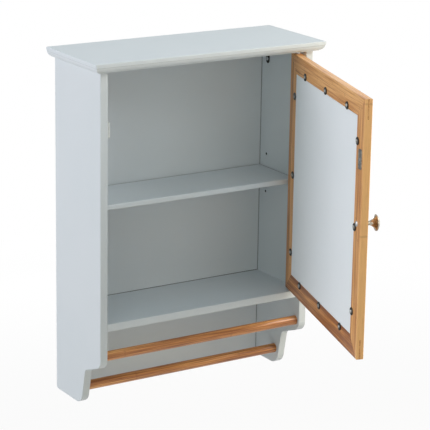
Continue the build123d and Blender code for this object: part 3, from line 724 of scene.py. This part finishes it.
def arc(start, through, end, steps):
    """Points on the circle through three points; its centre is where their bisectors meet."""
    a, b, c = (np.array(point, float) for point in (start, through, end))
    centre = np.linalg.solve(2 * np.array([b - a, c - a]), [b @ b - a @ a, c @ c - a @ a])
    spokes = np.array([a, b, c]) - centre
    angles = np.unwrap(np.arctan2(spokes[:, 1], spokes[:, 0]))
    angle = np.linspace(angles[0], angles[2], steps)
    return centre + np.hypot(*spokes[0]) * np.stack([np.cos(angle), np.sin(angle)], -1)


def knob_profile():
    """Base, waist, neck, flare, rounded rim and a dome that is part of a sphere."""
    rim_end = knob_rim[0] + knob_rim[1]
    rim_middle = knob_rim[0] + knob_rim[1] / 2
    shoulder = knob_head - knob_rim[1] / 3
    rise = knob_reach - rim_end
    ball = (shoulder ** 2 + rise ** 2) / (2 * rise)
    spread = math.asin(shoulder / ball)
    over = np.linspace(spread, 0, 20)
    dome = np.stack([ball * np.sin(over), knob_reach - ball + ball * np.cos(over)], -1)
    waist = (knob_neck * 0.8 + knob_base[0] * 0.2, (knob_base[1] + knob_neck_span[0]) / 2)
    flare_x = knob_neck + (knob_head - knob_neck) * 0.36
    flare_z = knob_neck_span[1] + (knob_rim[0] - knob_neck_span[1]) * 0.66
    return np.vstack([
        [(0, 0), (knob_base[0] - 0.0003, 0), (knob_base[0], 0.0003)],
        arc((knob_base[0], knob_base[1]), waist, (knob_neck, knob_neck_span[0]), 10),
        arc((knob_neck, knob_neck_span[1]), (flare_x, flare_z), (shoulder, knob_rim[0]), 20),
        arc((shoulder, knob_rim[0]), (knob_head, rim_middle), (shoulder, rim_end), 12)[1:],
        dome[1:],
    ])


polished = plated("polished_metal", rgba(180, 172, 158), rgba(142, 134, 121), 0.1)
knob_seat = swing @ facing(knob_x, front_y, knob_level, 90, "X")
knob_shape = at_places(turned(knob_profile(), round_steps), [knob_seat])
fitted("knob_turned", knob_shape, polished, "door", "polished_metal", "knob")
bolt_seat = door_face(knob_x, knob_level)
knob_bolt = at_places(pan_head(knob_screw), [bolt_seat])
fitted("knob_bolt", knob_bolt, zinc, "door", "zinc_steel", "knob_screw")


# Magnetic catch: a white moulded body with a ferrite magnet between two steel poles, a thin
# white cover over the magnet, and on the door a small steel strike plate with one screw.
catch_front = -0.1552
catch_depth = 0.014
catch_level = -0.065
catch_ear = 0.0022
catch_screw_offset = 0.0185
catch_screw = (0.003, 0.012, 0.006, 0.002)
block_rings = 12
block_points = 24


def moulded(name, light, shade):
    """Moulded plastic: an even colour with a fine spark-eroded skin."""
    material, wire = blank(name)
    place = wire.place()
    skin = wire.noise(place, 1500.0, 2.0)
    drift = wire.noise(place, 40.0, 2.0)
    wire.principled({
        "Base Color": drift.step(0.3, 0.7).blend(light, shade),
        "Roughness": skin * 0.15 + 0.32,
        "Normal": skin.bump(0.00002),
    })
    return material


def ferrite(name):
    """Pressed and ground ceramic magnet: dark, dull and a little grainy."""
    material, wire = blank(name)
    grain = wire.noise(wire.place(), 2200.0, 3.0)
    wire.principled({
        "Base Color": grain.step(0.3, 0.7).blend(rgba(58, 57, 58), rgba(44, 43, 45)),
        "Roughness": grain * 0.2 + 0.6,
        "Normal": grain.bump(0.00003),
    })
    return material


def rounded_block(low, high, edge):
    """A box with rounded edges: each point of a sphere as small as the edges are round is
    carried out to the corner on its own side."""
    rise = np.linspace(-np.pi / 2, np.pi / 2, block_rings + 2)[1:-1, None]
    turn = (np.arange(block_points)[None] + 0.5) * 2 * np.pi / block_points
    rise, turn = np.broadcast_arrays(rise, turn)
    ball = np.stack([np.cos(rise) * np.cos(turn), np.cos(rise) * np.sin(turn), np.sin(rise)], -1)
    corner = np.sign(ball) * ((high - low) / 2 - edge)
    points = ((high + low) / 2 + corner + ball * edge).reshape(-1, 3)
    first = np.arange(block_points)[None]
    last = first + len(points) - block_points
    return points, [ring_faces(block_rings, block_points), first[:, ::-1], last]


white_plastic = moulded("white_plastic", rgba(204, 209, 208), rgba(197, 202, 201))
dress(white_plastic, "catch_body")
magnet_box = np.array(frame["nodes"]["catch_magnet"].bound_box)
cover_low, cover_high = magnet_box.min(axis=0), magnet_box.max(axis=0)
cover_low[1], cover_high[1] = catch_front - 0.0002, catch_front + 0.0008
cover = rounded_block(cover_low, cover_high, 0.00015)
fitted("catch_cover", cover, white_plastic, "cabinet", "white_plastic")
dress(ferrite("ferrite"), "catch_magnet")
dress(zinc, "strike_screw")
dress(plated("dull_zinc", rgba(214, 216, 216), rgba(196, 198, 198), 0.5), "catch_poles")
dress(worn, "strike_plate")
ends = (catch_level - catch_screw_offset, catch_level + catch_screw_offset)
ear_x, ear_y = catch_ear - inner_x, catch_front + catch_depth / 2
ear_seats = [facing(ear_x, ear_y, level, 90, "Y") for level in ends]
ear_screws = at_places(pan_head(catch_screw), ear_seats)
fitted("catch_ear_screws", ear_screws, zinc, "cabinet", "zinc_steel", "catch_screws")


# Pivot hinges: a steel pin in each end of the hinge stile turns in a nylon bush let into the
# top and the bottom board, over a nylon washer below.
nylon = moulded("nylon", rgba(228, 226, 218), rgba(219, 216, 207))
dress(zinc, "upper_pivot_pin", "lower_pivot_pin")
dress(nylon, "upper_pivot_socket", "lower_pivot_socket", "pivot_washer")
